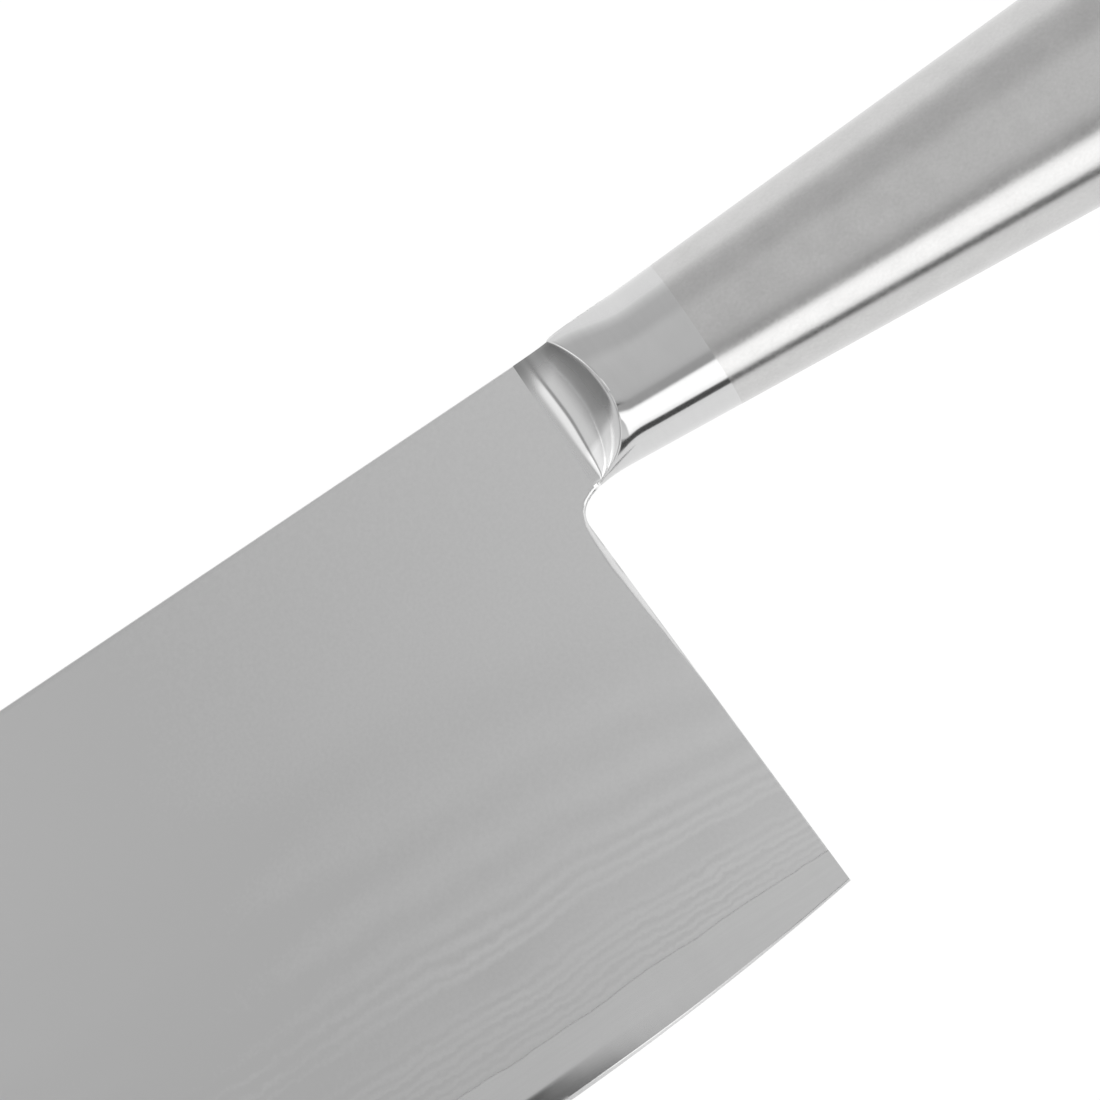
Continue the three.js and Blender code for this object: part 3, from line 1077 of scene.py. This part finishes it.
def make_patterned_steel():
    steel = Finish("patterned_steel", 1.0)
    height = steel.stored("stack_height")
    pattern = layer_pattern(steel, height)
    etched = steel.math("ADD", pattern, steel.remap(steel.noise(0.5, 3.0), -0.26, 0.26))
    seam = steel.remap(steel.stored("above_core_line"), 0.42, 0.0, 0.05, 0.32)
    etched = steel.math("SUBTRACT", etched, seam)
    filed = steel.stored("filed_share")
    # Painted shade: a dark line painted just outside the filed strip round the choil and heel, standing
    # in for a dark reflection.
    off_painted_rim_line = steel.math("ABSOLUTE", steel.math("SUBTRACT", filed, PAINTED_RIM_LINE))
    etched = steel.math("SUBTRACT", etched, steel.remap(off_painted_rim_line, 0.9, 0.0, 0.0, 0.2))
    bare = steel.remap(filed, 0.14, 0.0, 0.85, 1.0)
    # Painted shade: the colour darkens toward the front of the blade, and is made a little lighter
    # within about 34 mm of the core line.
    painted_front_shade = steel.remap(steel.behind_joint(), 0.0, PAINTED_FRONT_SHADE, 0.0, -PAINTED_SHADE_REACH * MM)
    painted_front_shade = steel.math("SUBTRACT", painted_front_shade, steel.remap(height, 0.14, 0.0, 8.0, 34.0))
    bright = steel.math("SUBTRACT", steel.remap(etched, 0.0, 1.0, -0.3, 1.3), painted_front_shade)
    steel.set("Base Color", steel.tint(bright, shade(0.5625), shade(0.7475)))
    steel.set("Roughness", steel.math("SUBTRACT", steel.remap(etched, 0.39, 0.31), bare))
    steel.relief(etched, 0.02, 0.25)
    return steel.material


patterned_steel = make_patterned_steel()
print(f"{patterned_steel.name}: {len(LAYERS)} layers, {len(patterned_steel.node_tree.nodes)} nodes")

# %% [markdown]
# ### The other steels
#
# The core band is honed along the blade, so its fine scratches run lengthwise. The bolster is buffed
# to a mirror with only a trace of haze, and its hollow has painted shade and painted highlights in
# its colour. The handle is bead blasted to an even satin, a grain so fine that it blurs reflections
# without showing itself.

# %% Core, bolster and handle steel
UNBUFFED_LENGTH = 1.6


def make_core_steel():
    steel = Finish("core_steel", 1.0)
    hone = steel.noise(0.5, 3.0, steel.stretched(0.06, 1.0, 1.0))
    cloud = steel.noise(9.0, 2.0)
    mixed = steel.math("MULTIPLY_ADD", cloud, 0.4, steel.math("MULTIPLY", hone, 0.6))
    seam = steel.remap(steel.stored("below_core_line"), 0.8, 0.0, 0.1, 0.26)
    bright = steel.math("SUBTRACT", mixed, seam)
    steel.set("Base Color", steel.tint(bright, shade(0.64), shade(0.717)))
    honed = steel.remap(mixed, 0.08, 0.13)
    steel.set("Roughness", steel.math("MULTIPLY_ADD", steel.stored("on_bevel"), 0.38, honed))
    steel.relief(hone, 0.004, 0.2)
    return steel.material


def make_polished_steel():
    steel = Finish("polished_steel", 1.0)
    haze = steel.noise(6.0, 3.0)
    mop_marks = steel.noise(0.7, 2.0, steel.stretched(1.0, 0.15, 0.15))
    mixed = steel.math("MULTIPLY_ADD", haze, 0.6, steel.math("MULTIPLY", mop_marks, 0.4))
    # The stored painted light and shade: it darkens the colour where painted shade lies and lightens it
    # where a painted highlight lies; the shaded parts are also rougher.
    painted_light_and_shade = steel.stored("painted_light_and_shade")
    bright = steel.math("MULTIPLY_ADD", painted_light_and_shade, 0.54, steel.remap(mixed, 0.5, 0.64))
    steel.set("Base Color", steel.tint(bright, shade(0.3), shade(0.9)))
    dull = steel.math("MAXIMUM", steel.math("MULTIPLY", painted_light_and_shade, -0.2), 0.0)
    smooth = steel.math("ADD", dull, steel.remap(mixed, 0.07, 0.14))
    unbuffed = steel.remap(steel.behind_joint(), 0.2, 0.0, 0.0, UNBUFFED_LENGTH * MM)
    steel.set("Roughness", steel.math("ADD", smooth, unbuffed))
    return steel.material


def make_satin_steel():
    steel = Finish("satin_steel", 1.0)
    grain = steel.noise(0.45, 3.0)
    cloud = steel.noise(4.5, 3.0)
    mixed = steel.math("MULTIPLY_ADD", cloud, 0.55, steel.math("MULTIPLY", grain, 0.45))
    steel.set("Base Color", steel.tint(mixed, shade(0.5, 0.006), shade(0.69, 0.006)))
    steel.set("Roughness", steel.remap(mixed, 0.12, 0.28))
    steel.relief(mixed, 0.02, 0.35)
    return steel.material


core_steel = make_core_steel()
polished_steel = make_polished_steel()
satin_steel = make_satin_steel()
print("made", core_steel.name, polished_steel.name, satin_steel.name)

# %% [markdown]
# ### Weld metal and sand
#
# These two stay inside the handle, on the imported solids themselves. Weld metal is dull with a brown
# cast where it was hot, and the sand is a mix of pale and dark grains.

# %% Hidden materials


def make_weld_metal():
    metal = Finish("weld_metal", 1.0)
    heat = metal.noise(2.2, 3.0)
    metal.set("Base Color", metal.tint(heat, (0.3, 0.25, 0.22), (0.5, 0.48, 0.46)))
    metal.set("Roughness", metal.remap(heat, 0.35, 0.6))
    metal.relief(metal.noise(0.8, 2.0), 0.1, 0.5)
    return metal.material


def make_sand():
    sand = Finish("sand", 0.0)
    grains = sand.noise(0.45, 2.0)
    sand.set("Base Color", sand.tint(grains, (0.36, 0.27, 0.16), (0.78, 0.68, 0.5)))
    sand.set("Roughness", sand.remap(grains, 0.8, 1.0))
    sand.relief(grains, 0.3, 0.8)
    return sand.material


weld_metal = make_weld_metal()
sand_grains = make_sand()
print("made", weld_metal.name, sand_grains.name)

# %% [markdown]
# ## Put the pieces on the frame
#
# Nothing on this knife moves, so every piece rides on the one body. Each detailed piece stands for
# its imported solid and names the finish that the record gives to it.

# %% Assembly
PIECES = (
    (core_plate, "core_plate", "core_steel", core_steel),
    (left_layer, "left_cladding", "patterned_steel", patterned_steel),
    (right_layer, "right_cladding", "patterned_steel", patterned_steel),
    (bolster, "bolster", "polished_steel", polished_steel),
    (left_shell, "left_handle_shell", "satin_steel", satin_steel),
    (right_shell, "right_handle_shell", "satin_steel", satin_steel),
)
HIDDEN = (
    ("left_tang_weld", weld_metal),
    ("right_tang_weld", weld_metal),
    ("balance_sand", sand_grains),
)
for piece, node, slot, material in PIECES:
    piece.data.materials.append(material)
    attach(piece, "root")
    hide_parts(node)

for node, material in HIDDEN:
    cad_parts[node].data.materials.clear()
    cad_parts[node].data.materials.append(material)
print(f"{len(PIECES)} detailed pieces and {len(HIDDEN)} packed solids inside")

# %% [markdown]
# ## Floor
#
# Laid on a table the knife rests on three points: the handle near its butt, the front corner of the
# spine and the toe of the edge. The floor is the plane through those three, a hair below them.

# %% Resting points
SPINE_STRIP = 2.0
TOE_STRIP = 4.0


def lowest(piece, x_range, depth_range):
    inside = []
    for vertex in piece.data.vertices:
        x, depth = x_and_depth(vertex.co)
        if x_range[0] <= x <= x_range[1] and depth_range[0] <= depth <= depth_range[1]:
            inside.append(vertex.co)
    return min(inside, key=lambda co: co.z).copy()


spine_end = front_x + 2 * SPINE_CORNER
toe_end = front_x + TOE_CORNER + 1
handle_rest = lowest(right_shell, (SHELL_FRONT, BUTT_X), (-BELLY_HEIGHT, BELLY_HEIGHT))
spine_rest = lowest(right_layer, (front_x, spine_end), (0.0, SPINE_STRIP))
toe_rest = lowest(core_plate, (front_x, toe_end), (TOE_HEIGHT - TOE_STRIP, BELLY_HEIGHT))
floor_up = (spine_rest - handle_rest).cross(toe_rest - handle_rest).normalized()
if floor_up.z < 0:
    floor_up = -floor_up
print(f"floor leans {math.degrees(floor_up.angle(Vector((0, 0, 1)))):.2f} degrees")

# %% [markdown]
# The floor is nearly white, and a share of its own light keeps it white in the picture and in the
# steel, while the rest stays matte, so that a soft shadow of the knife remains.

# %% Floor
FLOOR_GAP = 0.05
FLOOR_SIZE = 6.0
FLOOR_GLOW = 0.9
FLOOR_GLOW_STRENGTH = 1.06
FLOOR_COLOUR = (0.86, 0.86, 0.86, 1)


def flat_panel(name, centre, normal, along, length, width):
    across = normal.cross(along).normalized()
    along = across.cross(normal).normalized()
    corners = []
    for a, b in ((-1, -1), (1, -1), (1, 1), (-1, 1)):
        corners.append(centre + along * (a * length / 2) + across * (b * width / 2))
    mesh = bpy.data.meshes.new(name)
    mesh.from_pydata(corners, [], [(0, 1, 2, 3)])
    panel = bpy.data.objects.new(name, mesh)
    bpy.context.scene.collection.objects.link(panel)
    return panel


def make_floor_paint():
    material = new_material("floor_paint")
    paint = Wiring(material.node_tree)
    rays = paint.add("LightPath").outputs
    seen = paint.math("MAXIMUM", rays["Is Camera Ray"], rays["Is Glossy Ray"])
    through = paint.math("MAXIMUM", seen, rays["Is Transmission Ray"])
    matte = paint.nodes["Principled BSDF"]
    matte.inputs["Base Color"].default_value = FLOOR_COLOUR
    matte.inputs["Roughness"].default_value = 1.0
    matte.inputs["Specular IOR Level"].default_value = 0.0
    share = paint.math("MULTIPLY", through, FLOOR_GLOW)
    glow = paint.glow((1, 1, 1, 1), FLOOR_GLOW_STRENGTH)
    paint.show(paint.add("MixShader", share, matte.outputs[0], glow).outputs[0])
    return material


floor_middle = handle_rest - floor_up * FLOOR_GAP * MM
floor = flat_panel("floor", floor_middle, floor_up, Vector((1, 0, 0)), FLOOR_SIZE, FLOOR_SIZE)
floor.data.materials.append(make_floor_paint())
print(f"floor {FLOOR_SIZE:.0f} m wide, {FLOOR_GAP} mm under the handle")

# %% [markdown]
# ## Studio light
#
# Steel shows its surroundings, so the light is a room to be reflected. First comes a pale sky, white
# at the horizon and greyer overhead, and a little darker toward the front of the blade. That gives
# the flat faces their even grey.

# %% Sky
HORIZON = (0.12, 1.0)
ZENITH = (0.75, 0.7)
SKY_LEAN = 1.0
LEAN_POWER = 4.0


def make_sky():
    world = bpy.data.worlds.new("pale_room")
    bpy.context.scene.world = world
    world.use_nodes = True
    sky = Wiring(world.node_tree)
    toward = sky.axes("Generated")
    background = sky.nodes["Background"]
    sky.feed(background.inputs["Color"], sky.greys(toward["Z"], (HORIZON, ZENITH)))
    overhead = sky.math("POWER", toward["Z"], LEAN_POWER)
    overhead.node.use_clamp = True
    leaning = sky.math("MULTIPLY", toward["X"], overhead)
    sky.feed(background.inputs["Strength"], sky.math("MULTIPLY_ADD", leaning, SKY_LEAN, 1.0))
    return world


print("world:", make_sky().name)

# %% [markdown]
# Then come the panels that a photographer sets round polished metal. A long soft box beyond the edge
# of the blade makes the white band on the handle, grey and black flags beside it and beyond the spine
# make the dark lines, and cards at both ends light the bolster. Each panel is given by its brightness
# at some angles from straight up. The camera does not see them, only the steel does.

# %% Panels
grip_middle = place(BUTT_X / 2, -NECK_DEPTH / 2, 0)


def panel_paint(name, places, strengths):
    material = new_material(name)
    paint = Wiring(material.node_tree)
    peak = max(strengths)
    levels = [strength / peak for strength in strengths]
    stops = list(zip(reversed(places), reversed(levels)))
    paint.show(paint.glow(paint.greys(paint.axes("Generated")["Z"], stops), peak))
    return material


def room_panel(name, bearing, length, distance, aside, stops):
    angles = [math.radians(angle) for angle, strength in stops]
    middle = (angles[0] + angles[-1]) / 2
    reach = math.tan((angles[-1] - angles[0]) / 2)
    toward = bearing * math.sin(middle) + Vector((0, 0, 1)) * math.cos(middle)
    along = Vector((-bearing.y, bearing.x, 0))
    centre = grip_middle + toward * distance + along * aside
    panel = flat_panel(name, centre, -toward, along, length, 2 * distance * reach)
    places = [(reach + math.tan(middle - angle)) / (2 * reach) for angle in angles]
    strengths = [strength for angle, strength in stops]
    panel.data.materials.append(panel_paint(name + "_paint", places, strengths))
    panel.visible_camera = False
    print(f"{name}: seen from {stops[0][0]} to {stops[-1][0]} degrees from straight up")


EDGE_SIDE = Vector((0, -1, 0))
FRONT_SIDE = Vector((-1, 0, 0))
BUTT_SIDE = Vector((1, 0, 0))
LIP_SIDE = Vector((-0.946, 0.326, 0))
SPINE_SIDE = Vector((0, 1, 0))
FRONT_STOPS = (
    (8, 0.6), (11, 0.9), (16, 1.2), (29, 1.3), (32.5, 0.4), (37, 0.4),
    (41, 0.9), (58, 0.9), (74, 0.8), (83, 0.68), (91, 0.5),
)
SPINE_STOPS = ((26, 0.7), (38, 0.6), (62, 0.62), (74, 0.76), (84, 0.94))
PANELS = (
    ("soft_box", EDGE_SIDE, 7.2, 4.0, 1.7, ((33.5, 1.25), (37, 1.6), (58, 1.6), (67, 1.3))),
    ("gap_flag", EDGE_SIDE, 10.6, 3.9, 0.0, ((13, 0.7), (19, 0.64), (23, 0.47), (32.5, 0.43))),
    ("edge_flag", EDGE_SIDE, 3.0, 3.8, -1.84, ((10, 0.5), (13, 0.12), (16, 0.04), (22.5, 0.04))),
    ("low_flag", EDGE_SIDE, 10.6, 4.0, 0.0, ((68, 0.08), (80, 0.08))),
    ("front_card", FRONT_SIDE, 1.3, 4.0, -0.05, FRONT_STOPS),
    ("lip_card", LIP_SIDE, 1.3, 4.2, 0.0, ((45, 1.0), (58, 1.4), (91, 1.5))),
    ("spine_flag", SPINE_SIDE, 10.6, 4.0, 0.0, SPINE_STOPS),
    ("rear_card", BUTT_SIDE, 6.6, 4.0, 0.0, ((45, 1.0), (60, 1.15), (86, 1.15))),
)
for panel_row in PANELS:
    room_panel(*panel_row)

# %% [markdown]
# ## Camera
#
# The photograph looks straight down on the left face, with the spine rising to the right at about
# 34 degrees. The view is 143 mm wide, so the blade's front and the butt stay outside the frame.

# %% Camera
SPINE_RISE = math.radians(33.892)
VIEW_WIDTH = 143.15
VIEW_CENTRE = (-9.31, -22.51)
CAMERA_HEIGHT = 520.0
SENSOR = 36.0

camera_data = bpy.data.cameras.new("camera")
camera_data.sensor_width = SENSOR
camera_data.lens = SENSOR * CAMERA_HEIGHT / VIEW_WIDTH
camera = bpy.data.objects.new("camera", camera_data)
bpy.context.scene.collection.objects.link(camera)
camera.location = place(VIEW_CENTRE[0], VIEW_CENTRE[1], CAMERA_HEIGHT)
camera.rotation_euler = (0, 0, -SPINE_RISE)
bpy.context.scene.camera = camera
bpy.context.scene.view_settings.view_transform = "Standard"
print(f"lens {camera_data.lens:.1f} mm at {CAMERA_HEIGHT:.0f} mm above the blade")
